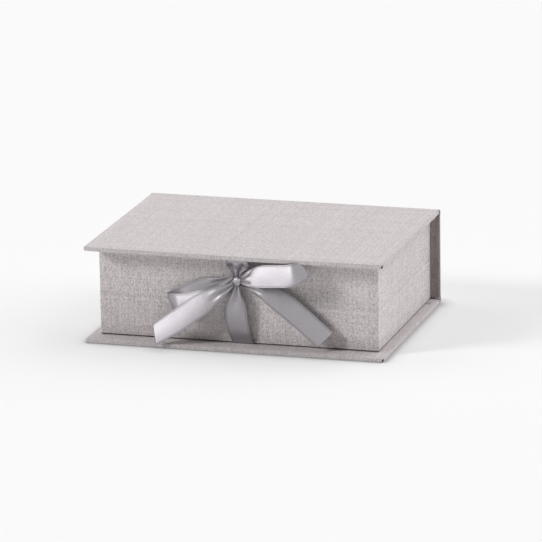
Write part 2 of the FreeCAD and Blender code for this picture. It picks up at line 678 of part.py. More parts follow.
pieces = [
    cover_board("base_board", "0"),
    cover_cloth("base_cloth", "0", COVER),
    fold_cloth("base_fold_cloth", "0", False),
    *spine(),
    joint_strip(),
    *tray_boards(),
    corner_stays(),
    tray_cloth(),
    *tray_linings(),
    lower_strand(),
    bow_knot(),
    bow_strip("bow_right_loop", RIGHT_LOOP, 1, from_knot),
    bow_strip("bow_left_loop", LEFT_LOOP, -1, from_knot),
    bow_strip("bow_left_tail", LEFT_TAIL, -1, above_base),
    bow_strip("bow_right_tail", RIGHT_TAIL, 1, above_base),
    cover_board("lid_board", LID_UNDER),
    cover_cloth("lid_cloth", LID_UNDER, "sizes.cloth"),
    lid_lining(),
    upper_strand(),
    fold_cloth("lid_hinge_cloth", SPINE_TOP, True),
    hinge_strip(),
]
doc.recompute()

for item in doc.Objects:
    if "Invalid" in item.State or "Error" in item.State:
        raise RuntimeError(f"{item.Name} failed: {item.State}")
for piece in pieces:
    if piece.Shape.isNull() or not piece.Shape.isValid():
        raise RuntimeError(f"{piece.Label} has no valid shape")
for piece in pieces:
    piece.Shape.exportStep(f"parts/{piece.Label}.step")
    print(f"{piece.Label}: {len(piece.Shape.Solids)} solid, {piece.Shape.Volume:.1f} mm3")
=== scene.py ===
"""Finished pieces of a cloth-covered photo storage box: covers, hinge, tray, satin bow and stage."""

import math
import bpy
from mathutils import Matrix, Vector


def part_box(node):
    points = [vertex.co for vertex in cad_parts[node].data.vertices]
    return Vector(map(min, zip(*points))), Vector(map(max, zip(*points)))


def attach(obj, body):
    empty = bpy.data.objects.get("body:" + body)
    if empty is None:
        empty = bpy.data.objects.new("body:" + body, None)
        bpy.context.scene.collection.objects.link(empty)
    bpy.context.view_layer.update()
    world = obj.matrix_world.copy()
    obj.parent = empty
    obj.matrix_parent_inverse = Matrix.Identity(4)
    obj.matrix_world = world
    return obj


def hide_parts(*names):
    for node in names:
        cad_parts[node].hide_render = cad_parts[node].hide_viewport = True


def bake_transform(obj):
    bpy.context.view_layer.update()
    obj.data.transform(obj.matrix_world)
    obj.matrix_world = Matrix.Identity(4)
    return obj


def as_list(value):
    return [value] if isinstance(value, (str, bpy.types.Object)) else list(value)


bl_info = {
    "name": "Photo Storage Box",
    "version": (1, 0, 0),
    "blender": (4, 5, 0),
    "location": "View3D > Sidebar > Photo Box",
    "description": "Linen-covered photo storage box with a lined tray and a satin bow",
    "category": "Object",
}

from functools import partial

import bmesh
import bpy
import numpy as np
from bpy.props import FloatProperty, FloatVectorProperty, PointerProperty
from mathutils import Matrix, Vector, noise

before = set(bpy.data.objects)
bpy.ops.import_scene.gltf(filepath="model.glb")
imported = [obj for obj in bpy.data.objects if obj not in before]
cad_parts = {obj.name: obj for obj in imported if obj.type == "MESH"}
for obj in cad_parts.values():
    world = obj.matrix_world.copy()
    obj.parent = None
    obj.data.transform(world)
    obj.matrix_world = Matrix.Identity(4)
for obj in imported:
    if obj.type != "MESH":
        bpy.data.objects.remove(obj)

MM = 0.001
FULL_TURN = 2 * math.pi
WEAVE = "weave"
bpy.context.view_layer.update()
CLOTH_THICK = 0.3 * MM
PAPER_THICK = 0.2 * MM
FOLD_RADIUS = 2.2 * MM
TOUCH = 1e-6


# Sizes and colours that can be changed in the sidebar


class CoverSettings(bpy.types.PropertyGroup):
    """Cloth and edges of the covers and the tray."""

    edge: FloatProperty(
        name="Edge Rounding",
        description="Rounding of a cloth-covered edge",
        default=0.6 * MM,
        min=0.1 * MM,
        max=1.3 * MM,
        unit="LENGTH",
    )
    thread: FloatProperty(
        name="Thread Pitch",
        description="Distance from one thread of the book cloth to the next",
        default=0.52 * MM,
        min=0.1 * MM,
        max=2 * MM,
        unit="LENGTH",
    )
    lid_bow: FloatProperty(
        name="Lid Bow",
        description="Height of the lid's front corners above the middle of its front edge",
        default=0.55 * MM,
        min=0.0,
        max=1.5 * MM,
        unit="LENGTH",
    )
    cloth: FloatVectorProperty(
        name="Cloth",
        description="Colour of the book cloth",
        default=(0.60, 0.573, 0.58),
        min=0.0,
        max=1.0,
        subtype="COLOR",
    )


class RibbonSettings(bpy.types.PropertyGroup):
    """Satin ribbon."""

    width: FloatProperty(
        name="Width",
        description="Width of the ribbon",
        default=15.5 * MM,
        min=10 * MM,
        max=25 * MM,
        unit="LENGTH",
    )
    thick: FloatProperty(
        name="Thickness",
        description="Thickness of the ribbon",
        default=0.25 * MM,
        min=0.1 * MM,
        max=0.6 * MM,
        unit="LENGTH",
    )
    satin: FloatVectorProperty(
        name="Satin",
        description="Colour of the ribbon",
        default=(0.545, 0.52, 0.55),
        min=0.0,
        max=1.0,
        subtype="COLOR",
    )


class StageSettings(bpy.types.PropertyGroup):
    """Floor and light."""

    floor: FloatVectorProperty(
        name="Floor",
        description="Colour of the floor",
        default=(0.94, 0.94, 0.94),
        min=0.0,
        max=1.0,
        subtype="COLOR",
    )
    shadow: FloatProperty(
        name="Floor Shadow",
        description="Share of the floor's own light and shadow in what is seen of it",
        default=0.55,
        min=0.0,
        max=1.0,
        subtype="FACTOR",
    )
    surround: FloatProperty(
        name="Surrounding Light",
        description="Strength of the even light from all round",
        default=0.1,
        min=0.0,
        max=2.0,
    )
    front_left: FloatProperty(
        name="Front Left Light",
        description="Strength of the light from the front left",
        default=1.7,
        min=0.0,
        max=10.0,
    )
    back_left: FloatProperty(
        name="Back Left Light",
        description="Strength of the broad light from above the left side",
        default=0.65,
        min=0.0,
        max=10.0,
    )
    back: FloatProperty(
        name="Back Light",
        description="Strength of the broad light from above the back",
        default=0.8,
        min=0.0,
        max=10.0,
    )
    right: FloatProperty(
        name="Right Light",
        description="Strength of the broad light from the right",
        default=1.9,
        min=0.0,
        max=10.0,
    )


# Mesh builders


def slab(low, high, rounding, spacing, flat_back=False):
    """Slab between two corners, cut into cells of about spacing; its edges are round, save those of a flat back."""
    low, high = Vector(low), Vector(high)
    bm = bmesh.new()
    bmesh.ops.create_cube(bm, size=1.0, matrix=Matrix.LocRotScale((low + high) / 2, None, high - low))
    edges = bm.edges[:]
    if flat_back:
        edges = [edge for edge in edges if any(abs(vert.co.y - high.y) > TOUCH for vert in edge.verts)]
    bmesh.ops.bevel(
        bm, geom=edges, offset=rounding, offset_type="OFFSET", affect="EDGES", segments=4, profile=0.5, material=-1
    )
    for axis in range(3):
        start, end = low[axis] + rounding, high[axis] - rounding
        if end - start >= spacing:
            count = max(1, round((end - start) / spacing))
            for number in range(1, count):
                cut_across(bm, axis, start + (end - start) * number / count)
    return bm


def cut_across(bm, axis, place):
    """Cut a mesh in two along a plane across an axis, and keep both sides."""
    point, normal = Vector((0, 0, 0)), Vector((0, 0, 0))
    point[axis], normal[axis] = place, 1.0
    geometry = bm.verts[:] + bm.edges[:] + bm.faces[:]
    bmesh.ops.bisect_plane(bm, geom=geometry, plane_co=point, plane_no=normal, dist=1e-7)


def set_weave(bm, spot):
    """Weave coordinates of each corner of each face, in metres, by spot(face, point)."""
    layer = bm.loops.layers.uv.new(WEAVE)
    for face in bm.faces:
        for loop in face.loops:
            loop[layer].uv = spot(face, loop.vert.co)


def lay_weave(bm, shift=0.0):
    """Threads along the two long directions of each face; shift moves the start of the weave."""

    def spot(face, co):
        x, y, z = (abs(part) for part in face.normal)
        if z >= max(x, y):
            return co.x, co.y + shift
        if y >= x:
            return co.x, shift - co.z if face.normal.y > 0 else co.z + shift
        return co.y, co.z + shift

    bm.normal_update()
    set_weave(bm, spot)


def distances(points):
    """Distance of each point from the first, along the path through them."""
    found = [0.0]
    for before, after in zip(points, points[1:]):
        found.append(found[-1] + (after - before).length)
    return found


def sheet_on(place, flat, columns, rows):
    """Grid sheet with its points at place(across, along), both from 0 to 1, and its weave at flat(across, along)."""
    bm = bmesh.new()
    bmesh.ops.create_grid(bm, x_segments=columns, y_segments=rows, size=0.5, calc_uvs=False)
    set_weave(bm, lambda face, co: flat(co.x + 0.5, co.y + 0.5))
    for vert in bm.verts:
        vert.co = place(vert.co.x + 0.5, vert.co.y + 0.5)
    return bm


def spline(places, values):
    """Natural cubic spline through values at places, as a function of the place."""
    places = np.array(places, float)
    values = np.array(values, float)
    count = len(places)
    step = np.diff(places)
    slope = np.diff(values, axis=0) / step[:, None]
    table = np.eye(count)
    right = np.zeros_like(values)
    for number in range(1, count - 1):
        before, after = step[number - 1], step[number]
        table[number, number - 1 : number + 2] = (before, 2 * (before + after), after)
        right[number] = 6 * (slope[number] - slope[number - 1])
    bend = np.linalg.solve(table, right)

    def at(place):
        number = int(np.clip(np.searchsorted(places, place, side="right") - 1, 0, count - 2))
        gap = step[number]
        before, after = places[number + 1] - place, place - places[number]
        line = (values[number] * before + values[number + 1] * after) / gap
        curve = bend[number] * (before**3 / gap - before * gap) + bend[number + 1] * (after**3 / gap - after * gap)
        return line + curve / 6

    return at


def make_piece(name, bm, material, body=None, node=None, smooth_angle=35):
    """Object from a finished mesh, with its material and body; it hides the node that it stands for."""
    mesh = bpy.data.meshes.new(name)
    bm.to_mesh(mesh)
    bm.free()
    for polygon in mesh.polygons:
        polygon.use_smooth = True
    mesh.set_sharp_from_angle(angle=math.radians(smooth_angle))
    piece = bpy.data.objects.new(name, mesh)
    bpy.context.scene.collection.objects.link(piece)
    mesh.materials.append(material)
    if body:
        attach(piece, body)
    if node:
        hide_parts(node)
    return piece


def shade_faces(piece, material, chosen):
    """Second material on the faces for which chosen(face) holds."""
    piece.data.materials.append(material)
    for face in piece.data.polygons:
        if chosen(face):
            face.material_index = 1


def add_thickness(piece, thickness, side):
    """Thickness of a sheet: side is 1 towards the way its faces point, -1 behind them, 0 on both sides."""
    shell = piece.modifiers.new("thickness", "SOLIDIFY")
    shell.thickness = thickness
    shell.offset = side


# Shader helpers


def feed(tree, node, inputs):
    """Set the inputs of a node, named or numbered, each to a value or to another node's output."""
    for key, source in inputs.items():
        if isinstance(source, bpy.types.NodeSocket):
            tree.links.new(source, node.inputs[key])
        else:
            node.inputs[key].default_value = source


def add_node(tree, kind, inputs=None, **settings):
    """Shader node of a kind, with its inputs and settings."""
    node = tree.nodes.new(f"ShaderNode{kind}")
    for name, setting in settings.items():
        setattr(node, name, setting)
    feed(tree, node, inputs or {})
    return node


def maths(tree, operation, *values):
    """Result of one operation on values or outputs."""
    inputs = dict(enumerate(values))
    return add_node(tree, "Math", inputs, operation=operation).outputs[0]


def about_half(tree, value, factor):
    """A value from 0 to 1 as a swing about zero."""
    return maths(tree, "MULTIPLY", maths(tree, "SUBTRACT", value, 0.5), factor)


def blend_colors(tree, share, first, second, mode="MIX"):
    """Mix of two colours."""
    inputs = {0: share, 6: first, 7: second}
    return add_node(tree, "Mix", inputs, data_type="RGBA", blend_type=mode).outputs[2]


def noise_value(tree, vector, scale, detail=2.0, roughness=0.5):
    """Smooth noise from 0 to 1, with scale grains to the metre."""
    inputs = {"Vector": vector, "Scale": scale, "Detail": detail, "Roughness": roughness}
    return add_node(tree, "TexNoise", inputs, noise_dimensions="2D").outputs["Fac"]


def long_noise(tree, place, grains, detail=2.0, roughness=0.5):
    """Noise with its own number of grains to the metre across and along the cloth."""
    scaled = add_node(tree, "VectorMath", {0: place, 1: (*grains, 1.0)}, operation="MULTIPLY")
    return noise_value(tree, scaled.outputs[0], 1.0, detail, roughness)


def stretch(tree, value, low, high, to_low=0.0, to_high=1.0):
    """A value's range moved to another range, and held inside it."""
    inputs = {"Value": value, "From Min": low, "From Max": high, "To Min": to_low, "To Max": to_high}
    return add_node(tree, "MapRange", inputs).outputs["Result"]


def new_group(name, inputs, outputs):
    """Empty shader group with sockets by name and kind; also its inlets, and the node that takes its outputs."""
    tree = bpy.data.node_groups.new(name, "ShaderNodeTree")
    for in_out, sockets in (("INPUT", inputs), ("OUTPUT", outputs)):
        for label, kind in sockets.items():
            tree.interface.new_socket(name=label, in_out=in_out, socket_type=f"NodeSocket{kind}")
    return tree, tree.nodes.new("NodeGroupInput").outputs[: len(inputs)], tree.nodes.new("NodeGroupOutput")


def color4(color, factor=1.0):
    """Colour with full opacity, each part at most 1."""
    return (*(min(1.0, part * factor) for part in color), 1.0)


def linen_group():
    """Plain weave of uneven threads; Place is in metres along the cloth."""
    name = "Linen weave"
    if name in bpy.data.node_groups:
        return bpy.data.node_groups[name]
    inputs = {
        "Place": "Vector",
        "Thread Pitch": "Float",
        "Contrast": "Float",
        "Slub": "Float",
        "Cloth Color": "Color",
        "Light Thread": "Color",
        "Dark Thread": "Color",
    }
    tree, inlets, outlet = new_group(name, inputs, {"Color": "Color", "Height": "Float", "Roughness": "Float"})
    calc = partial(maths, tree)
    place, pitch, contrast, thick, cloth, light_thread, dark_thread = inlets
    sway = about_half(tree, noise_value(tree, place, 90.0, 1.0), 1.2 * MM)
    parts = add_node(tree, "SeparateXYZ", {"Vector": place})
    across = calc("ADD", parts.outputs["X"], sway)
    along = calc("ADD", parts.outputs["Y"], sway)
    threads = []
    for value in (across, along):
        turns = calc("DIVIDE", value, pitch)
        rise = calc("SINE", calc("MULTIPLY", calc("FRACT", turns), math.pi))
        threads.append((calc("FLOOR", turns), rise))
    (warp, warp_rise), (weft, weft_rise) = threads
    over = calc("FLOORED_MODULO", calc("ADD", warp, weft), 2.0)
    sign = calc("MULTIPLY_ADD", over, 2.0, -1.0)
    lift = 0.6
    warp_lift = calc("MULTIPLY", calc("MULTIPLY", sign, weft_rise), lift)
    weft_lift = calc("MULTIPLY", calc("MULTIPLY", sign, warp_rise), -lift)
    warp_height = calc("ADD", warp_rise, warp_lift)
    weft_height = calc("ADD", weft_rise, weft_lift)
    weave = calc("MAXIMUM", warp_height, weft_height)
    warp_on_top = calc("GREATER_THAN", warp_height, weft_height)

    # Each thread has its own tone, which drifts along it, and the warp is broken into short dashes.
    tones, owns = [], []
    for number, run, seed in ((warp, along, 0.0), (weft, across, 31.7)):
        inputs = {"W": calc("ADD", number, seed)}
        own = add_node(tree, "TexWhiteNoise", inputs, noise_dimensions="1D").outputs["Value"]
        inputs = {"X": calc("MULTIPLY", number, 7.3), "Y": calc("MULTIPLY", run, 150.0)}
        drift = noise_value(tree, add_node(tree, "CombineXYZ", inputs).outputs[0], 1.0, 1.0)
        tones.append(calc("MULTIPLY_ADD", own, 0.6, calc("MULTIPLY", drift, 0.4)))
        owns.append(own)
    tone = calc("MULTIPLY_ADD", calc("SUBTRACT", *tones), warp_on_top, tones[1])
    start = calc("MULTIPLY", owns[0], 8.0)
    dashes = calc("MULTIPLY_ADD", calc("DIVIDE", along, pitch), 0.7, start)
    dash = add_node(tree, "CombineXYZ", {"X": warp, "Y": calc("FLOOR", dashes)}).outputs[0]
    dash = add_node(tree, "TexWhiteNoise", {"Vector": dash}, noise_dimensions="2D").outputs["Value"]
    tone = calc("MULTIPLY_ADD", dash, 0.6, calc("MULTIPLY", tone, 0.5))

    # Slubs are thicker lengths of thread, in both directions.
    warp_slub = long_noise(tree, place, (1100.0, 90.0), 2.0, 0.6)
    weft_slub = long_noise(tree, place, (120.0, 1300.0), 2.0, 0.6)
    slub = calc("MULTIPLY_ADD", warp_slub, 0.7, calc("MULTIPLY", weft_slub, 0.3))
    speck = noise_value(tree, place, 1900.0, 1.0, 0.7)
    broad = noise_value(tree, place, 60.0, 3.0, 0.6)

    mixed = calc("MULTIPLY_ADD", calc("SUBTRACT", slub, 0.5), thick, tone)
    mixed = calc("ADD", mixed, about_half(tree, speck, 0.5))
    mixed = calc("ADD", mixed, about_half(tree, broad, 0.05))
    signed = about_half(tree, mixed, contrast)
    color = blend_colors(tree, stretch(tree, signed, 0.0, 1.0), cloth, light_thread)
    color = blend_colors(tree, stretch(tree, signed, 0.0, -1.0), color, dark_thread)
    warm = stretch(tree, noise_value(tree, place, 900.0, 1.0), 0.35, 0.65)
    tint = blend_colors(tree, warm, (1.0, 0.965, 0.965, 1.0), (0.985, 0.98, 0.98, 1.0))
    color = blend_colors(tree, 1.0, color, tint, "MULTIPLY")

    swell = about_half(tree, slub, calc("MULTIPLY", thick, 4.0))
    height = calc("MULTIPLY_ADD", speck, 0.8, calc("ADD", weave, swell))
    height = calc("MULTIPLY_ADD", tone, 1.2, height)
    rough = stretch(tree, weave, 0.0, 1.6, 0.95, 0.78)
    feed(tree, outlet, {"Color": color, "Height": height, "Roughness": rough})
    return tree


def fibre_group():
    """Paper or board: short fibres, cloudy tone and small specks; Place is in metres."""
    name = "Paper fibres"
    if name in bpy.data.node_groups:
        return bpy.data.node_groups[name]
    inputs = {"Place": "Vector", "Paper Color": "Color", "Fibre Color": "Color", "Fibres": "Float"}
    tree, inlets, outlet = new_group(name, inputs, {"Color": "Color", "Height": "Float"})
    place, paper, fibre, amount = inlets
    inputs = {"Vector": place, "Scale": 240.0, "Detail": 3.0, "Distortion": 1.2}
    cloud = add_node(tree, "TexNoise", inputs).outputs["Fac"]
    inputs = {"Vector": place, "Scale": 1500.0, "Detail": 2.0, "Distortion": 3.0}
    hair = add_node(tree, "TexNoise", inputs).outputs["Fac"]
    height = maths(tree, "ADD", stretch(tree, hair, 0.45, 0.7), cloud)
    share = maths(tree, "MULTIPLY", maths(tree, "MULTIPLY", height, amount), 0.5)
    feed(tree, outlet, {"Color": blend_colors(tree, share, paper, fibre), "Height": height})
    return tree


def satin_group():
    """Satin ribbon: fine cross ribs, long floats, a woven edge and painted shade along its rim; Place is across and
    along, in metres.
    """
    name = "Satin weave"
    if name in bpy.data.node_groups:
        return bpy.data.node_groups[name]
    inputs = {
        "Place": "Vector",
        "Ribbon Width": "Float",
        "Rib Pitch": "Float",
        "Edge Width": "Float",
        "Satin Color": "Color",
        "Rib Color": "Color",
    }
    tree, inlets, outlet = new_group(name, inputs, {"Color": "Color", "Height": "Float", "Roughness": "Float"})
    calc = partial(maths, tree)
    place, width, rib_pitch, edge_width, satin, rib_color = inlets
    parts = add_node(tree, "SeparateXYZ", {"Vector": place})
    across, along = parts.outputs["X"], parts.outputs["Y"]
    slant = calc("MULTIPLY_ADD", across, 0.35, along)
    rib = calc("SINE", calc("MULTIPLY", calc("DIVIDE", slant, rib_pitch), FULL_TURN))
    rib = calc("MULTIPLY_ADD", rib, 0.5, 0.5)
    floats = long_noise(tree, place, (5200.0, 130.0))
    grain = long_noise(tree, place, (1500.0, 900.0), 1.0)
    broad = noise_value(tree, place, 160.0, 2.0)

    # The woven edge and a dark line inside it; outside it, painted shade along the rim, where the ribbon's edge
    # curls.
    edge = calc("MINIMUM", across, calc("SUBTRACT", width, across))
    edge_share = calc("DIVIDE", edge, edge_width)
    on_edge = stretch(tree, edge_share, 1.0, 0.9)
    from_line = calc("ABSOLUTE", calc("SUBTRACT", edge_share, 1.15))
    line = stretch(tree, from_line, 0.35, 0.15)
    rim = stretch(tree, edge_share, 0.4, 0.15)

    share = calc("MULTIPLY_ADD", rib, 0.1, calc("MULTIPLY", floats, 0.2))
    share = calc("MULTIPLY_ADD", calc("MAXIMUM", line, rim), 0.55, share)
    share = calc("MULTIPLY_ADD", broad, 0.1, share)
    share = calc("MULTIPLY_ADD", stretch(tree, grain, 0.25, 0.75, -1.0, 1.0), 0.12, share)
    color = blend_colors(tree, share, satin, rib_color)
    height = calc("MULTIPLY_ADD", rib, 0.5, calc("MULTIPLY", floats, 0.4))
    height = calc("MULTIPLY_ADD", on_edge, 1.0, height)
    rough = calc("MULTIPLY_ADD", on_edge, 0.12, stretch(tree, floats, 0.3, 0.7, 0.5, 0.58))
    feed(tree, outlet, {"Color": color, "Height": height, "Roughness": rough})
    return tree


# Linens: share of the cloth's colour, contrast of threads, thickness of slubs, relief.
LINENS = {
    "covers": ((0.98, 0.97, 0.97), 1.35, 0.2, 0.04 * MM),
    # The tray's linen is a lighter, slightly warmer copy of the covers' cloth: painted light on the tray's walls.
    "tray": ((1.11, 1.095, 1.09), 1.75, 0.5, 0.07 * MM),
    # The inside linen is the covers' cloth darkened: painted shade for the recess of the spine's inner face, its ends
    # and the groove at its foot.
    "inside": ((0.57, 0.53, 0.52), 1.5, 1.0, 0.1 * MM),
    # The fold linen is near black: painted shade in the mouth of the corner tuck.
    "fold": ((0.03, 0.027, 0.027), 0.5, 0.4, 0.04 * MM),
}
# Papers: colour, colour of fibres, amount of fibres, relief, roughness.
PAPERS = {
    # Greyboard and stay paper are darker than their own tone: painted shade for the gap under the tray, where they
    # show.
    "pressed_greyboard": ((0.14, 0.13, 0.125), (0.08, 0.076, 0.072), 0.9, 0.05 * MM, 0.9),
    "smooth_lining_paper": ((0.66, 0.64, 0.635), (0.50, 0.48, 0.475), 0.5, 0.015 * MM, 0.8),
    "gummed_stay_paper": ((0.13, 0.12, 0.115), (0.09, 0.085, 0.08), 0.6, 0.02 * MM, 0.7),
}


def new_material(name):
    """Material with only its shader and its output."""
    material = bpy.data.materials.new(name)
    material.use_nodes = True
    return material, material.node_tree, material.node_tree.nodes["Principled BSDF"]


def surface(tree, shader, group, inputs, relief, **constants):
    """Let a group set a shader's colour, normal and, if it has one, roughness; the constants set the rest."""
    outputs = add_node(tree, "Group", inputs, node_tree=group).outputs
    bump = add_node(tree, "Bump", {"Height": outputs["Height"], "Distance": relief})
    feed(tree, shader, {"Base Color": outputs["Color"], "Normal": bump.outputs["Normal"]})
    if "Roughness" in outputs:
        feed(tree, shader, {"Roughness": outputs["Roughness"]})
    feed(tree, shader, {label.replace("_", " "): value for label, value in constants.items()})


def linen(kind):
    """Book cloth of one of the kinds of LINENS."""
    name = f"woven_linen_{kind}"
    if name in bpy.data.materials:
        return bpy.data.materials[name]
    settings = bpy.context.scene.photo_box_covers
    shade, contrast, slub, relief = LINENS[kind]
    shaded = [part * share for part, share in zip(settings.cloth, shade)]
    # The dark threads are partly their own darker tone and partly painted shade of the weave's hollows, warmed as
    # light bounced between threads warms it.
    deep = [part * share for part, share in zip(shaded, (1.06, 0.97, 0.96))]
    material, tree, shader = new_material(name)
    inputs = {
        "Place": add_node(tree, "UVMap", uv_map=WEAVE).outputs["UV"],
        "Thread Pitch": settings.thread,
        "Contrast": contrast,
        "Slub": slub,
        "Cloth Color": color4(shaded),
        "Light Thread": color4(shaded, 1.4),
        "Dark Thread": color4(deep, 0.42),
    }
    surface(tree, shader, linen_group(), inputs, relief, Specular_IOR_Level=0.2)
    return material


def satin_material():
    """Satin whose sheen is drawn out across the ribbon, since its floats lie along it."""
    name = "woven_satin"
    if name in bpy.data.materials:
        return bpy.data.materials[name]
    settings = bpy.context.scene.photo_box_ribbon
    material, tree, shader = new_material(name)
    inputs = {
        "Place": add_node(tree, "UVMap", uv_map=WEAVE).outputs["UV"],
        "Ribbon Width": settings.width,
        "Rib Pitch": 0.55 * MM,
        "Edge Width": 1.0 * MM,
        "Satin Color": color4(settings.satin),
        "Rib Color": color4(settings.satin, 0.45),
    }
    surface(tree, shader, satin_group(), inputs, 0.02 * MM, Metallic=0.85, Specular_IOR_Level=0.6, Anisotropic=0.93)
    tangent = add_node(tree, "Tangent", direction_type="UV_MAP", uv_map=WEAVE)
    feed(tree, shader, {"Tangent": tangent.outputs["Tangent"]})
    return material


def paper(name):
    """Paper or greyboard of one of the kinds of PAPERS, reading the object's own coordinates."""
    if name in bpy.data.materials:
        return bpy.data.materials[name]
    color, fibre, amount, relief, rough = PAPERS[name]
    material, tree, shader = new_material(name)
    place = add_node(tree, "TexCoord").outputs["Object"]
    inputs = {"Place": place, "Paper Color": color4(color), "Fibre Color": color4(fibre), "Fibres": amount}
    surface(tree, shader, fibre_group(), inputs, relief, Roughness=rough, Specular_IOR_Level=0.25)
    return material


# Covers


def ease(share):
    """Share held from 0 to 1, with a soft start and a soft end."""
    share = min(1.0, max(0.0, share))
    return share * share * (3 - 2 * share)


def lid_lift(co, bow):
    """Lift of a point of the lid: the front corners stand up and the middle of the edge hangs."""
    start, reach, half_width, hang = 20 * MM, 97 * MM, 105 * MM, 0.36
    return bow * ((co.x / half_width) ** 2 - hang) * ease((start - co.y) / reach)


def bend_lid(bm, bow):
    """Bend a mesh as the lid is bent."""
    for vert in bm.verts:
        vert.co.z += lid_lift(vert.co, bow)


def soften(bm, amount, scale, seed):
    """Slight unevenness of glued cloth, along the normals; scale is in grains to the metre."""
    bm.normal_update()
    shift = Vector((seed, seed * 0.7, 0))
    moves = [vert.normal * (noise.noise(vert.co * scale + shift) * amount) for vert in bm.verts]
    for vert, move in zip(bm.verts, moves):
        vert.co += move


def painted_tuck_shade(low, high, radius):
    """Painted shade in the mouth of the tuck at the front right corner, where the two turned-in edges of the cloth
    meet: a dark sheet standing on the cloth.
    """
    bm = bmesh.new()
    cells, widest, slant = 8, 0.75 * MM, 0.9 * MM
    foot, length = 0.16, 0.7
    tall = high[2] - low[2]
    quarter = radius * math.pi / 4
    rows = []
    for row in range(cells + 1):
        share = row / cells
        half = widest * math.sin(math.pi * (0.08 + 0.84 * share))
        points = []
        for column in range(cells + 1):
            turn = slant * (share - 0.5) + half * (2 * column / cells - 1)
            angle = max(-quarter, min(quarter, turn)) / radius - math.pi / 4
            x = high[0] - radius + radius * math.cos(angle) + min(0.0, turn + quarter)
            y = low[1] + radius + radius * math.sin(angle) + max(0.0, turn - quarter)
            points.append(bm.verts.new((x, y, low[2] + tall * (foot + length * share))))
        rows.append(points)
    for below, above in zip(rows, rows[1:]):
        for n in range(cells):
            bm.faces.new((below[n], below[n + 1], above[n + 1], above[n]))
    return bm


def cover_cloth(name, node, body, bow, seed):
    """Cloth round the three free edges of a cover, flat where it meets the fold, and a dark sheet of painted shade in
    the tuck at its corner.
    """
    low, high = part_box(node)
    edge = bpy.context.scene.photo_box_covers.edge
    bm = slab(low, high, edge, 6 * MM, flat_back=True)
    soften(bm, 0.06 * MM, 55.0, seed)
    tuck = painted_tuck_shade(low, high, edge)
    for mesh in (bm, tuck):
        bend_lid(mesh, bow)
        lay_weave(mesh)
    make_piece(name, bm, linen("covers"), body, node)
    # The tuck's near-black linen is painted shade where the turned-in cloth gapes.
    tuck = make_piece(name + "_painted_tuck_shade", tuck, linen("fold"), body)
    add_thickness(tuck, 0.2 * MM, 0)


def inner_board(name, node, body, bow):
    """Greyboard inside a cover, bent as its cloth is."""
    bm = slab(*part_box(node), 0.15 * MM, 12 * MM)
    bend_lid(bm, bow)
    make_piece(name, bm, paper("pressed_greyboard"), body, node)


class PHOTOBOX_OT_covers(bpy.types.Operator):
    """Build the lid and the base cover"""

    bl_idname = "photo_box.covers"
    bl_label = "Covers"

    def execute(self, context):
        bow = context.scene.photo_box_covers.lid_bow
        cover_cloth("lid_cover_cloth", "lid_cloth", "lid", bow, 3.1)
        cover_cloth("base_cover_cloth", "base_cloth", "box", 0.0, 8.4)
        inner_board("lid_cover_board", "lid_board", "lid", bow)
        lining = lid_lining_mesh(bow)
        smooth = paper("smooth_lining_paper")
        lining = make_piece("lid_paper_lining", lining, smooth, "lid", "lid_lining")
        add_thickness(lining, PAPER_THICK, 1)
        return {"FINISHED"}


def lid_lining_mesh(bow):
    """Paper inside the lid, raised over the ribbon's glued end."""
    low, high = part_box("lid_lining")
    ribbon_low, ribbon_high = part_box("ribbon_upper_strand")
    rise = high[2] - low[2] - PAPER_THICK
    margin, slope = 0.3 * MM, 1.5 * MM
    left, right, end = ribbon_low[0] - margin, ribbon_high[0] + margin, ribbon_high[1] + margin
    width, depth = high[0] - low[0], high[1] - low[1]

    def place(across, along):
        x, y = low[0] + across * width, high[1] - along * depth
        inside = min(x - left, right - x, end - y)
        point = Vector((x, y, high[2] - rise * ease(1 + inside / slope)))
        point.z += lid_lift(point, bow)
        return point

    return sheet_on(place, lambda across, along: (across * width, along * depth), 200, 100)


# Spine, folds and hinge


def rounded_path(points, radius, steps=8):
    """Points along a path of two straight runs with a rounded corner, as (y, z) pairs."""
    start, corner, end = (Vector(point) for point in points)
    back, ahead = (start - corner).normalized(), (end - corner).normalized()
    centre = corner + (back + ahead) * radius
    path = [start + (corner + back * radius - start) * share / 2 for share in range(2)]
    for number in range(steps + 1):
        angle = number / steps * math.pi / 2
        path.append(centre - ahead * radius * math.cos(angle) - back * radius * math.sin(angle))
    first = corner + ahead * radius
    path += [first + (end - first) * share / 4 for share in range(1, 5)]
    return path


def strip_along(low, high, path, shift=0.0, columns=24):
    """Sheet with one section, path, all along X; shift moves the start of the weave."""
    lengths = distances(path)
    rows = len(path) - 1
    width = high[0] - low[0]

    def place(across, along):
        return Vector((low[0] + width * across, *path[round(along * rows)]))

    def flat(across, along):
        return low[0] + width * across, lengths[round(along * rows)] + shift

    return sheet_on(place, flat, columns, rows)


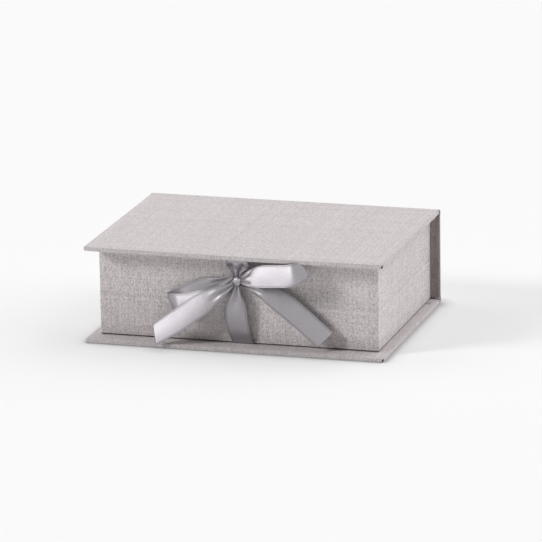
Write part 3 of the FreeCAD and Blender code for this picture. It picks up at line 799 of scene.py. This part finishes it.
class PHOTOBOX_OT_spine(bpy.types.Operator):
    """Build the spine, the fold at its foot and the strip over its inside"""

    bl_idname = "photo_box.spine"
    bl_label = "Spine"

    def execute(self, context):
        low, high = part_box("spine_cloth")
        bm = slab(low, high, context.scene.photo_box_covers.edge, 8 * MM)
        fold_line = 78.5 * MM
        lay_weave(bm, fold_line + high[2])
        case = make_piece("spine_case_cloth", bm, linen("covers"), "box", "spine_cloth")
        # Painted shade: the spine's inner face and its end faces take the darkened inside linen.
        shade_faces(case, linen("inside"), lambda face: face.normal.y < -0.5 or abs(face.normal.x) > 0.5)
        low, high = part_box("base_fold_cloth")
        path = rounded_path([(low[1], low[2]), (high[1], low[2]), (high[1], high[2])], FOLD_RADIUS)
        bm = strip_along(low, high, path, low[1])
        fold = make_piece("base_case_fold", bm, linen("covers"), "box", "base_fold_cloth")
        add_thickness(fold, CLOTH_THICK, 1)
        low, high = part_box("spine_joint_strip")
        steps = [(-1.3, 0), (-0.6, -0.3), (0.2, -0.4), (0.8, 0), (0.9, 0.6), (0.6, 1.2), (0.1, 1.45), (0, 1.7)]
        path = [Vector((low[1], low[2]))]
        path += [Vector((high[1] + back * MM, low[2] + up * MM)) for back, up in steps]
        path += [path[-1].lerp(Vector((high[1], high[2])), share / 6) for share in range(1, 7)]
        bm = strip_along(low, high, path)
        strip = make_piece("spine_inner_strip", bm, linen("covers"), "box", "spine_joint_strip")
        # Painted shade: the strip from the groove at the spine's foot up the spine's inner face takes the darkened
        # inside linen.
        shade_faces(strip, linen("inside"), lambda face: face.center.y > high[1] - 0.9 * MM)
        add_thickness(strip, CLOTH_THICK, 1)
        return {"FINISHED"}


class PHOTOBOX_OT_hinge(bpy.types.Operator):
    """Build the two cloths round the hinge between the spine and the lid, each with a rounded turn"""

    bl_idname = "photo_box.hinge"
    bl_label = "Hinge"

    def execute(self, context):
        low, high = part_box("lid_hinge_cloth")
        path = rounded_path([(low[1], high[2]), (high[1], high[2]), (high[1], low[2])], FOLD_RADIUS, 12)
        bm = strip_along(low, high, path, low[1], 40)
        outer = make_piece("hinge_case_cloth", bm, linen("covers"), None, "lid_hinge_cloth")
        add_thickness(outer, CLOTH_THICK, -1)
        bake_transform(outer)
        low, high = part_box("lid_hinge_strip")
        path = rounded_path([(high[1], low[2]), (high[1], high[2]), (low[1], high[2])], 0.6 * MM)
        bm = strip_along(low, high, path, columns=40)
        inner = make_piece("hinge_inner_strip", bm, linen("covers"), None, "lid_hinge_strip")
        add_thickness(inner, CLOTH_THICK, 1)
        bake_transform(inner)
        return {"FINISHED"}


# Tray


class PHOTOBOX_OT_tray(bpy.types.Operator):
    """Build the tray's outer cloth and finish its boards and papers"""

    bl_idname = "photo_box.tray"
    bl_label = "Tray"

    def execute(self, context):
        low, high = (Vector(corner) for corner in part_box("tray_cloth"))
        wall, clear, rounding, turn_in = 2.75 * MM, 0.55 * MM, 0.45 * MM, 12 * MM
        bm = slab(low + Vector((0, 0, clear)), high, rounding, 6 * MM)
        inner_low, inner_high = low + Vector((wall, wall, 0)), high - Vector((wall, wall, 0))
        for axis in range(2):
            for place in (inner_low[axis], inner_high[axis]):
                cut_across(bm, axis, place)

        def over_mouth(face):
            centre = face.calc_center_median()
            return all(inner_low[axis] < centre[axis] < inner_high[axis] for axis in range(2))

        mouth = [face for face in bm.faces if over_mouth(face)]
        bmesh.ops.delete(bm, geom=mouth, context="FACES")
        rim = [edge for edge in bm.edges if edge.is_boundary and edge.verts[0].co.z > high.z - 10 * TOUCH]
        drop = bmesh.ops.extrude_edge_only(bm, edges=rim)["geom"]
        drop = [item for item in drop if isinstance(item, bmesh.types.BMVert)]
        bmesh.ops.translate(bm, vec=(0, 0, -turn_in), verts=drop)
        bmesh.ops.recalc_face_normals(bm, faces=bm.faces[:])
        lay_weave(bm)
        piece = make_piece("tray_outer_cloth", bm, linen("tray"), "box", "tray_cloth")
        add_thickness(piece, CLOTH_THICK, -1)
        walls = [f"tray_{side}_wall" for side in ("front", "back", "left", "right")]
        for node in ("base_board", "spine_board", "tray_floor", *walls):
            give_material(node, paper("pressed_greyboard"))
        give_material("tray_corner_stays", paper("gummed_stay_paper"))
        give_material("tray_wall_lining", paper("smooth_lining_paper"))
        give_material("tray_floor_lining", paper("smooth_lining_paper"))
        return {"FINISHED"}


def give_material(node, material):
    """Put a material on a node of the frame."""
    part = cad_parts[node]
    if not part.material_slots:
        part.data.materials.append(material)
    for slot in part.material_slots:
        slot.link = "OBJECT"
        slot.material = material


# Ribbon


KNOT = Vector((1.0, -68.0, 47.4)) * MM
WALL_Y = -64.2 * MM
KNOT_EDGE = 3.0 * MM
DEPTH = 14.5 * MM
STEP = 0.6 * MM
BASE_TOP = 3.0 * MM
LID_UNDER = 64.5 * MM
LEVEL = Vector((1, 0, 0))

# Rows: steps to the side of the knot, share of DEPTH out from the wall, height in steps above the knot (loops) or
# as a share of the knot's height (tails), way across, share of the width, rise of the middle as a share of it.
RIGHT_LOOP = [
    (-0.3, 0.34, 2.3, (0, 0.2, 1), 0.22, 0.02),
    (13.3, 0.60, 7.7, (0, 0.1, 1), 0.78, 0.08),
    (26.7, 0.76, 10.8, (0, 0.1, 1), 1.0, 0.08),
    (45.0, 0.94, 13.3, (-0.03, 0.1, 1), 1.0, 0.065),
    (62.2, 1.08, 15.9, (-0.1, 0.12, 1), 1.0, 0.065),
    (74.2, 1.01, 20.8, (-0.4, 0.2, 0.85), 0.87, 0.065),
    (78.0, 0.92, 23.0, (-0.55, 0.3, 0.75), 0.8, 0.06),
    (74.2, 0.86, 20.8, (-0.4, 0.2, 0.85), 0.87, 0.04),
    (60.8, 0.84, 15.5, (-0.1, 0.05, 1), 0.95, 0.025),
    (41.7, 0.82, 12.0, (0, 0, 1), 1.0, 0.04),
    (16.7, 0.47, 7.3, (0, 0, 1), 0.8, 0.03),
    (-0.3, 0.22, 3.8, (0, 0, 1), 0.2, 0.015),
]
LEFT_LOOP = [
    (-0.3, 0.26, 3.2, (-0.1, 0, 1), 0.2, -0.02),
    (-13.7, 0.53, -9.7, (-0.33, 0, 0.94), 0.68, -0.065),
    (-33.3, 0.71, -21.2, (-0.33, 0, 0.94), 0.98, -0.065),
    (-55.0, 0.59, -28.0, (-0.2, 0, 0.98), 0.97, -0.065),
    (-69.8, 0.43, -28.7, (-0.32, 0.05, 0.95), 0.88, -0.055),
    (-73.6, 0.34, -27.8, (-0.4, 0.1, 0.9), 0.8, -0.05),
    (-69.8, 0.26, -26.5, (-0.38, 0.05, 0.92), 0.87, -0.05),
    (-53.8, 0.18, -20.0, (-0.35, 0, 0.93), 0.97, -0.04),
    (-34.2, 0.14, -11.3, (-0.33, 0, 0.94), 0.95, -0.03),
    (-15.0, 0.12, -5.0, (-0.2, 0, 0.97), 0.6, -0.025),
    (-0.2, 0.15, 3.7, (0, 0, 1), 0.2, -0.02),
]
LEFT_TAIL = [
    (0.5, 0.44, 0.962, (-0.2, 0, 1), 0.2, -0.02),
    (-15.0, 0.70, 0.835, (-0.38, 0, 0.93), 0.72, -0.08),
    (-36.7, 0.85, 0.630, (-0.46, -0.06, 0.88), 1.0, -0.08),
    (-60.0, 0.93, 0.402, (-0.44, 0.12, 0.88), 1.0, -0.04),
    (-88.7, 1.00, 0.145, (-0.25, 0.32, 0.92), 0.9, -0.02),
]
RIGHT_TAIL = [
    (0.0, 0.20, 0.958, (0.4, 0.1, 0.9), 0.2, 0.015),
    (21.2, 0.27, 0.915, (0.69, 0.2, 0.7), 0.72, 0.04),
    (48.3, 0.50, 0.740, (0.62, 0.22, 0.75), 1.0, 0.065),
    (72.5, 0.56, 0.495, (0.69, 0.19, 0.69), 1.0, 0.05),
    (98.7, 0.52, 0.185, (0.68, 0.19, 0.71), 1.0, 0.03),
]


def from_knot(up):
    """Height of a number of steps above the knot."""
    return KNOT.z + up * STEP


def above_base(share):
    """Height at a share of the way from the base cover to the knot."""
    return BASE_TOP + share * (KNOT.z - BASE_TOP)


def above_knot(share):
    """Height at a share of the way from the knot to the lid."""
    return KNOT.z + share * (LID_UNDER - KNOT.z)


def beside_knot(rows, edge, height):
    """Stations of a loop or a tail: centre, way across, share of the width, and rise of the middle."""
    stations = []
    for side, out, up, across, spread, crown in rows:
        centre = Vector((KNOT.x + edge * KNOT_EDGE + side * STEP, WALL_Y - out * DEPTH, height(up)))
        stations.append((centre, Vector(across), spread, crown))
    return stations


def lower_strand_stations():
    """Stations of the strand from the base cover's edge up to the knot."""
    foot = Vector((3.1 * MM, WALL_Y, 3.15 * MM))
    sway = 0.775 * MM
    rows = [
        (foot, 1.0, 0.0),
        (foot + Vector((0, -0.56, 0.24)) * MM, 1.0, 0.0),
        (foot + Vector((0, -0.8, 0.8)) * MM, 1.0, -0.003),
        ((foot.x - sway, WALL_Y - 0.17 * DEPTH, above_base(0.12)), 1.0, -0.02),
        ((KNOT.x, WALL_Y - 0.28 * DEPTH, above_base(0.29)), 1.0, -0.06),
        ((KNOT.x - sway, WALL_Y - 0.36 * DEPTH, above_base(0.49)), 1.0, -0.1),
        ((KNOT.x - sway, WALL_Y - 0.39 * DEPTH, above_base(0.67)), 0.85, -0.1),
        ((KNOT.x - sway / 2, WALL_Y - 0.34 * DEPTH, above_base(0.84)), 0.38, -0.05),
        ((KNOT.x, KNOT.y, KNOT.z - 3.2 * MM), 0.2, -0.02),
    ]
    return [(Vector(centre), LEVEL, spread, crown) for centre, spread, crown in rows]


def upper_strand_stations():
    """Stations of the strand from the lid's edge down to the knot."""
    top = Vector((2.7 * MM, -73.5 * MM, 64.35 * MM))
    rows = [
        (top, 1.0, 0.0),
        (top + Vector((0, -0.56, -0.24)) * MM, 1.0, 0.0),
        (top + Vector((0, -0.8, -0.8)) * MM, 1.0, 0.003),
        ((top.x, top.y - 0.64 * MM, above_knot(0.88)), 1.0, 0.02),
        ((top.x, WALL_Y - 0.46 * DEPTH, above_knot(0.66)), 0.95, 0.05),
        ((KNOT.x, WALL_Y - 0.33 * DEPTH, above_knot(0.43)), 0.52, 0.05),
        ((KNOT.x, KNOT.y, KNOT.z + 3.4 * MM), 0.2, 0.02),
    ]
    return [(Vector(centre), LEVEL, spread, crown) for centre, spread, crown in rows]


def gather(half, lengthwise, waves, phase):
    """Depth of the pleats at which a section that is pinched to half keeps the ribbon's width."""
    shares = np.linspace(-1, 1, 41)
    turn = waves * math.pi
    halvings = 24
    low, high = 0.0, 3 * MM
    for _ in range(halvings):
        depth = (low + high) / 2
        slope = depth * turn * np.sin(turn * shares + phase)
        if 2 * np.sqrt(half**2 + slope**2).mean() < lengthwise:
            low = depth
        else:
            high = depth
    return low


def ribbon_surface(stations, pinched, waves, phase, glued, deepest=1.4 * MM, least=0.0, run=20 * MM):
    """Place on a ribbon (across, along), and its free length.

    It is pleated over a run from its pinched ends, from least to deepest, and glued is the way of its flat end.
    """
    width = bpy.context.scene.photo_box_ribbon.width
    centres = [station[0] for station in stations]
    lengths = distances(centres)
    places = [length / lengths[-1] for length in lengths]
    route = spline(places, [tuple(centre) for centre in centres])

    def heading(at, place):
        step = 0.002
        return Vector(at(min(1.0, place + step)) - at(max(0.0, place - step))).normalized()

    rails = []
    for (centre, across, spread, crown), place in zip(stations, places):
        half = across.normalized() * (spread * width / 2)
        off = heading(route, place).cross(half).normalized() * (crown * width)
        rails.append((*(centre - half), *(centre + off), *(centre + half)))
    rail = spline(places, rails)
    spreads = spline(places, [(station[2],) for station in stations])

    def section(place):
        points = rail(place)
        low, middle, high = Vector(points[0:3]), Vector(points[3:6]), Vector(points[6:9])
        ahead = heading(lambda at: rail(at)[3:6], place)
        narrowest = 0.15
        spread = min(1.0, max(narrowest, float(spreads(place)[0])))
        return low, middle, high, ahead, spread

    depths = {}

    def at(across, along):
        far = along * (glued.length + lengths[-1]) - glued.length
        start = glued.normalized() * min(0.0, far)
        place = max(0.0, far / lengths[-1])
        low, middle, high, ahead, spread = section(place)
        off = ahead.cross(high - low).normalized()
        bow = middle - (low + high) / 2
        point = low + (high - low) * across + bow * (4 * across * (1 - across))
        away = min(abs(place - end) for end in pinched) * lengths[-1]
        if away < run:
            if along not in depths:
                depth = max(least, min(deepest, gather(spread * width / 2, width, waves, phase)))
                depths[along] = depth * ease(2 * (1 - away / run))
            point += off * (depths[along] * math.cos(waves * math.pi * (2 * across - 1) + phase))
        return point + start

    steps = 200
    middles = [Vector(rail(number / steps)[3:6]) for number in range(steps + 1)]
    return at, distances(middles)[-1]


def add_ribbon(name, node, body, stations, pinched, waves, phase, held, rests_on, glued=0.0, rows=120, **pleats):
    """One strip of the bow, as a thin closed sheet; glued is the length of its end under a cover."""
    settings = bpy.context.scene.photo_box_ribbon
    place, free = ribbon_surface(stations, pinched, waves, phase, Vector((0, -glued, 0)), **pleats)
    length = free + glued
    bm = sheet_on(place, lambda across, along: (across * settings.width, along * length), 36, rows)
    piece = make_piece(name, bm, satin_material(), body, node, 50)
    add_thickness(piece, settings.thick, 0)
    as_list(rests_on)


def knot_mesh(width):
    """Band of gathered ribbon of unit radius round the pinch of the bow, open at its sides."""
    bm = bmesh.new()
    count = 24
    half = width / 2
    verts = []
    for number in range(count + 1):
        share = 2 * number / count - 1
        bulge = 1.0 - 0.34 * share * share
        pleat = 0.06 * math.cos(2.5 * math.pi * share + 0.6)
        verts.append(bm.verts.new((share * half, 0, bulge + pleat)))
    edges = [bm.edges.new(pair) for pair in zip(verts, verts[1:])]
    turn = {"cent": (0, 0, 0), "axis": (1, 0, 0), "angle": FULL_TURN, "steps": 48}
    bmesh.ops.spin(bm, geom=verts + edges, use_merge=True, use_duplicate=False, **turn)
    bmesh.ops.remove_doubles(bm, verts=bm.verts[:], dist=TOUCH)
    return bm


class PHOTOBOX_OT_bow(bpy.types.Operator):
    """Build the satin ribbon: two strands, two loops, two tails and the knot"""

    bl_idname = "photo_box.bow"
    bl_label = "Bow"

    def execute(self, context):
        settings = context.scene.photo_box_ribbon
        glued, knot = 30 * MM, ["bow_wrapped_knot"]
        node, rests_on = "ribbon_lower_strand", ["tray_outer_cloth", *knot]
        stations = lower_strand_stations()
        add_ribbon("bow_lower_strand", node, "box", stations, (1.0,), 1.5, 0.0, "stretched", rests_on, glued)
        node, rests_on = "ribbon_upper_strand", ["lid_cover_cloth"]
        stations = upper_strand_stations()
        pleats = {"least": 1.1 * MM}
        add_ribbon("bow_upper_strand", node, "lid", stations, (1.0,), 2.0, 0.6, "gathered", rests_on, glued, **pleats)
        right_pleats = {"deepest": 0.8 * MM, "run": 11 * MM}
        loops = (("bow_right_loop", RIGHT_LOOP, 1, right_pleats), ("bow_left_loop", LEFT_LOOP, -1, {}))
        for node, rows, edge, pleats in loops:
            stations = beside_knot(rows, edge, from_knot)
            name, pinched = f"{node}_ribbon", (0.0, 1.0)
            add_ribbon(name, node, "box", stations, pinched, 2.0, 0.3, "folded", knot, rows=200, **pleats)
        tails = (("bow_left_tail", LEFT_TAIL, -1), ("bow_right_tail", RIGHT_TAIL, 1))
        for node, rows, edge in tails:
            stations = beside_knot(rows, edge, above_base)
            add_ribbon(f"{node}_ribbon", node, "box", stations, (0.0,), 2.0, 0.3, "hung", knot)
        bm = knot_mesh(5.0 * MM)
        deep, tall, tilt = 2.9 * MM, 4.0 * MM, math.radians(14)
        gathered, mean_radius = 2.4, 3.4 * MM
        size = Matrix.Diagonal((1, deep, tall, 1))
        bmesh.ops.transform(bm, matrix=Matrix.Rotation(tilt, 4, "Y") @ size, verts=bm.verts)
        bmesh.ops.translate(bm, vec=KNOT, verts=bm.verts)

        def spot(face, co):
            x, y, z = co - KNOT
            return settings.width / 2 + x * gathered, math.atan2(z, -y) * mean_radius

        set_weave(bm, spot)
        bmesh.ops.recalc_face_normals(bm, faces=bm.faces[:])
        piece = make_piece("bow_wrapped_knot", bm, satin_material(), "box", "bow_knot", 60)
        add_thickness(piece, settings.thick, 0)
        return {"FINISHED"}


# Stage


WHITE = (1, 1, 1, 1)
BACKDROP_GLOW = 0.94
FLOOR_GLOW = 0.905


class PHOTOBOX_OT_stage(bpy.types.Operator):
    """Set the floor, the lights, the surrounding light and the camera"""

    bl_idname = "photo_box.stage"
    bl_label = "Stage"

    def execute(self, context):
        scene = context.scene
        settings = scene.photo_box_stage
        bm = bmesh.new()
        bmesh.ops.create_grid(bm, x_segments=8, y_segments=8, size=8.0)
        floor = make_piece("studio_floor", bm, floor_material())
        world = bpy.data.worlds.new("studio_surround")
        scene.world = world
        world.use_nodes = True
        tree = world.node_tree
        glow, light = BACKDROP_GLOW, settings.surround
        strength = maths(tree, "MULTIPLY_ADD", seen_rays(tree), glow - light, light)
        feed(tree, tree.nodes["Background"], {"Color": WHITE, "Strength": strength})

        # The first sun is the narrowest and sharpens the shadows, the others are broad.
        add_sun("front_left_light", settings.front_left, 16, (-1.0, -0.7, 0.7))
        add_sun("back_left_light", settings.back_left, 40, (-1.0, 0.2, 1.0))
        add_sun("back_light", settings.back, 60, (0.0, 0.8, 1.0))
        add_sun("right_light", settings.right, 70, (1.0, 0.5, 0.8))
        scene.view_settings.view_transform = "Standard"

        # The photograph's camera, as the corners of the covers give it.
        camera = bpy.data.cameras.new("photo_camera")
        camera.lens = 326.35
        camera.sensor_width = 36.0
        camera.clip_end = 50.0
        holder = bpy.data.objects.new("photo_camera", camera)
        scene.collection.objects.link(holder)
        right = Vector((0.95948184, 0.28138614, -0.01471176))
        up = Vector((-0.06017783, 0.25564462, 0.96489609))
        turn = Matrix((right, up, right.cross(up))).transposed().to_4x4()
        place = (0.93546, -3.12818, 0.92385)
        holder.matrix_world = Matrix.Translation(place) @ turn
        scene.camera = holder
        return {"FINISHED"}


def add_sun(name, strength, angle, direction):
    """Even light from a direction, as wide as an angle in degrees."""
    lamp = bpy.data.lights.new(name, "SUN")
    lamp.energy = strength
    lamp.angle = math.radians(angle)
    holder = bpy.data.objects.new(name, lamp)
    holder.rotation_euler = Vector(direction).to_track_quat("Z", "Y").to_euler()
    bpy.context.scene.collection.objects.link(holder)


def seen_rays(tree):
    """1 for rays that show a surface directly, through glass or in a reflection."""
    paths = add_node(tree, "LightPath").outputs
    direct = maths(tree, "MAXIMUM", paths["Is Camera Ray"], paths["Is Transmission Ray"])
    return maths(tree, "MAXIMUM", direct, paths["Is Glossy Ray"])


def floor_material():
    """Pale floor that keeps a soft shadow; the rest of what is seen of it is an even white glow, with a painted
    contact shadow where it nearly meets the box.
    """
    settings = bpy.context.scene.photo_box_stage
    material, tree, shader = new_material("studio_floor")
    calc = partial(maths, tree)
    place = add_node(tree, "TexCoord").outputs["Object"]
    cloud = noise_value(tree, place, 30.0)
    shade = blend_colors(tree, cloud, color4(settings.floor), color4(settings.floor, 0.995))
    seen = seen_rays(tree)
    kept = calc("MULTIPLY_ADD", seen, settings.shadow - 1.0, 1.0)
    # Painted contact shadow: the white glow is darkened near the box by occlusion raised to the sixth power.
    painted_contact_shade = add_node(tree, "AmbientOcclusion", {"Distance": 14 * MM}, samples=4).outputs["AO"]
    painted_contact_shade = calc("MULTIPLY", seen, calc("POWER", painted_contact_shade, 6.0))
    inputs = {
        "Base Color": blend_colors(tree, kept, color4((0, 0, 0)), shade),
        "Roughness": 1.0,
        "Specular IOR Level": 0.0,
        "Emission Color": WHITE,
        "Emission Strength": calc("MULTIPLY", painted_contact_shade, FLOOR_GLOW * (1.0 - settings.shadow)),
    }
    feed(tree, shader, inputs)
    return material


# Sidebar and registration


class PHOTOBOX_PT_panel(bpy.types.Panel):
    """Pieces and settings of the box"""

    bl_idname = "PHOTOBOX_PT_panel"
    bl_label = "Photo Box"
    bl_space_type = "VIEW_3D"
    bl_region_type = "UI"
    bl_category = "Photo Box"

    def draw(self, context):
        layout = self.layout
        for settings, _, operators in PIECES:
            box = layout.box()
            group = getattr(context.scene, settings)
            for name in group.bl_rna.properties.keys():
                if name not in ("rna_type", "name"):
                    box.prop(group, name)
            for operator in operators:
                box.operator(operator.bl_idname)


CASE_OPERATORS = (PHOTOBOX_OT_covers, PHOTOBOX_OT_spine, PHOTOBOX_OT_hinge, PHOTOBOX_OT_tray)
PIECES = (
    ("photo_box_covers", CoverSettings, CASE_OPERATORS),
    ("photo_box_ribbon", RibbonSettings, (PHOTOBOX_OT_bow,)),
    ("photo_box_stage", StageSettings, (PHOTOBOX_OT_stage,)),
)
CLASSES = [item for _, group, operators in PIECES for item in (group, *operators)]
CLASSES += [PHOTOBOX_PT_panel]


def register():
    for item in CLASSES:
        bpy.utils.register_class(item)
    for name, group, _ in PIECES:
        setattr(bpy.types.Scene, name, PointerProperty(type=group))


def unregister():
    for name, _, _ in PIECES:
        delattr(bpy.types.Scene, name)
    for item in reversed(CLASSES):
        bpy.utils.unregister_class(item)


def main():
    register()
    bpy.ops.photo_box.stage()
    bpy.ops.photo_box.covers()
    bpy.ops.photo_box.spine()
    bpy.ops.photo_box.hinge()
    bpy.ops.photo_box.tray()
    bpy.ops.photo_box.bow()


if __name__ == "__main__":
    main()
